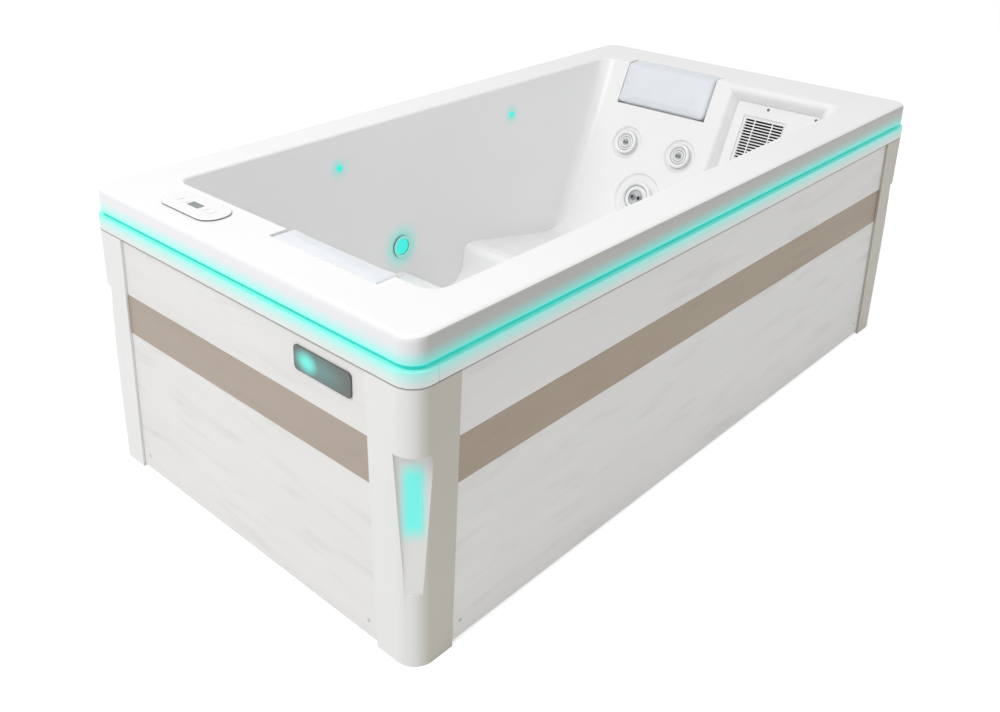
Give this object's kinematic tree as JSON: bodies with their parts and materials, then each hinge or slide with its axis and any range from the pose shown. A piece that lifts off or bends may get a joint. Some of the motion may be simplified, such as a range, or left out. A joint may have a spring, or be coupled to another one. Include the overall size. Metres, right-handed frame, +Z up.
{
  "type": "hot tub",
  "caption": "Rectangular two-seat hot tub with white acrylic shell, boarded cabinet, lit corner posts, pillows, jets and skimmer",
  "frame": {"origin": "bottom centre on the floor", "axes": "+X to the skimmer end, +Y to the back long side, +Z up"},
  "size_m": [2.028, 1.066, 0.7262],
  "materials": {
    "acrylic_white": "gloss sanitary acrylic",
    "trim_white": "satin moulded plastic",
    "display_dark": "smooth tinted window",
    "pillow_foam": "soft skinned foam",
    "light_diffuser": "lit turquoise diffuser",
    "board_whitewash": "white-washed grain, matt",
    "board_taupe": "taupe grain, matt",
    "badge_grey": "satin plate, bare",
    "galvanised_steel": "zinc coat",
    "foam_block": "rigid foam",
    "black_plastic": "grained black plastic",
    "pipe_plastic": "plain pipe plastic",
    "filter_paper": "pleated filter fabric",
    "stainless": "drawn stainless"
  },
  "bodies": {
    "tub": {"badge_plate": "badge_grey", "base_beams": "galvanised_steel", "board_back_accent": "board_taupe", "board_back_lower": "board_whitewash", "board_back_upper": "board_whitewash", "board_far_accent": "board_taupe", "board_far_lower": "board_whitewash", "board_far_upper": "board_whitewash", "board_front_accent": "board_taupe", "board_front_lower": "board_whitewash", "board_front_upper": "board_whitewash", "board_near_accent": "board_taupe", "board_near_lower": "board_whitewash", "board_near_upper": "board_whitewash", "console_housing": "trim_white", "console_window": "display_dark", "control_box": "black_plastic", "equipment_tray": "black_plastic", "filter_cartridge": "filter_paper", "floor_bearers": "foam_block", "heater": "stainless", "jet_bodies": "pipe_plastic", "jet_nuts": "pipe_plastic", "levelling_feet": "black_plastic", "light_lenses": "light_diffuser", "light_ring": "trim_white", "light_strip": "light_diffuser", "pipes": "pipe_plastic", "post_back_far": "trim_white", "post_back_near": "trim_white", "post_front_far": "trim_white", "post_front_near": "trim_white", "post_lenses": "light_diffuser", "pump_housing": "black_plastic", "rail_back": "trim_white", "rail_far": "trim_white", "rail_front": "trim_white", "rail_near": "trim_white", "shell": "acrylic_white", "skimmer_box": "black_plastic", "skimmer_plate": "trim_white", "suction_covers": "trim_white", "suction_fittings": "pipe_plastic", "top_beams": "galvanised_steel", "uprights": "galvanised_steel"},
    "jet_face_far_inner": {"jet_face_far_inner": "trim_white"},
    "jet_face_far_outer": {"jet_face_far_outer": "trim_white"},
    "jet_face_far_large": {"jet_face_far_large": "trim_white"},
    "jet_face_near_inner": {"jet_face_near_inner": "trim_white"},
    "jet_face_near_outer": {"jet_face_near_outer": "trim_white"},
    "jet_face_near_large": {"jet_face_near_large": "trim_white"},
    "pillow_far": {"pillow_far": "pillow_foam"},
    "pillow_near": {"pillow_near": "pillow_foam"},
    "console_key_outer_left": {"console_key_outer_left": "trim_white"},
    "console_key_inner_left": {"console_key_inner_left": "trim_white"},
    "console_key_inner_right": {"console_key_inner_right": "trim_white"},
    "console_key_outer_right": {"console_key_outer_right": "trim_white"},
    "skimmer_grille": {"skimmer_grille": "trim_white"},
    "pump_rotor": {"pump_rotor": "stainless"}
  },
  "joints": [
    {"name": "jet_face_far_inner_turn", "type": "hinge", "parent": "tub", "child": "jet_face_far_inner", "pos_m": [0.7244, 0.04013, 0.48364], "axis": [-0.9063, 0, 0.4226], "range_deg": [0, 90]},
    {"name": "jet_face_far_outer_turn", "type": "hinge", "parent": "tub", "child": "jet_face_far_outer", "pos_m": [0.7244, 0.23993, 0.48364], "axis": [-0.9063, 0, 0.4226], "range_deg": [0, 90]},
    {"name": "jet_face_far_large_turn", "type": "hinge", "parent": "tub", "child": "jet_face_far_large", "pos_m": [0.65509, 0.14003, 0.335], "axis": [-0.9063, 0, 0.4226], "range_deg": [0, 90]},
    {"name": "jet_face_near_inner_turn", "type": "hinge", "parent": "tub", "child": "jet_face_near_inner", "pos_m": [-0.7464, -0.04013, 0.48364], "axis": [0.9063, 0, 0.4226], "range_deg": [0, 90]},
    {"name": "jet_face_near_outer_turn", "type": "hinge", "parent": "tub", "child": "jet_face_near_outer", "pos_m": [-0.7464, -0.23993, 0.48364], "axis": [0.9063, 0, 0.4226], "range_deg": [0, 90]},
    {"name": "jet_face_near_large_turn", "type": "hinge", "parent": "tub", "child": "jet_face_near_large", "pos_m": [-0.67709, -0.14003, 0.335], "axis": [0.9063, 0, 0.4226], "range_deg": [0, 90]},
    {"name": "pillow_far_pull", "type": "slide", "parent": "tub", "child": "pillow_far", "axis": [-0.9063, 0, 0.4226], "range_m": [0, 0.07]},
    {"name": "pillow_near_pull", "type": "slide", "parent": "tub", "child": "pillow_near", "axis": [0.9063, 0, 0.4226], "range_m": [0, 0.07]},
    {"name": "console_key_outer_left_press", "type": "slide", "parent": "tub", "child": "console_key_outer_left", "axis": [0, 0, -1], "range_m": [0, 0.001], "stiffness_N_per_m": 400},
    {"name": "console_key_inner_left_press", "type": "slide", "parent": "tub", "child": "console_key_inner_left", "axis": [0, 0, -1], "range_m": [0, 0.001], "stiffness_N_per_m": 400},
    {"name": "console_key_inner_right_press", "type": "slide", "parent": "tub", "child": "console_key_inner_right", "axis": [0, 0, -1], "range_m": [0, 0.001], "stiffness_N_per_m": 400},
    {"name": "console_key_outer_right_press", "type": "slide", "parent": "tub", "child": "console_key_outer_right", "axis": [0, 0, -1], "range_m": [0, 0.001], "stiffness_N_per_m": 400},
    {"name": "skimmer_grille_lift", "type": "slide", "parent": "tub", "child": "skimmer_grille", "axis": [-0.9063, 0, 0.4226], "range_m": [0, 0.1]},
    {"name": "pump_rotor_spin", "type": "hinge", "parent": "tub", "child": "pump_rotor", "pos_m": [-0.68, -0.15, 0.11], "axis": [1, 0, 0], "continuous": true}
  ]
}
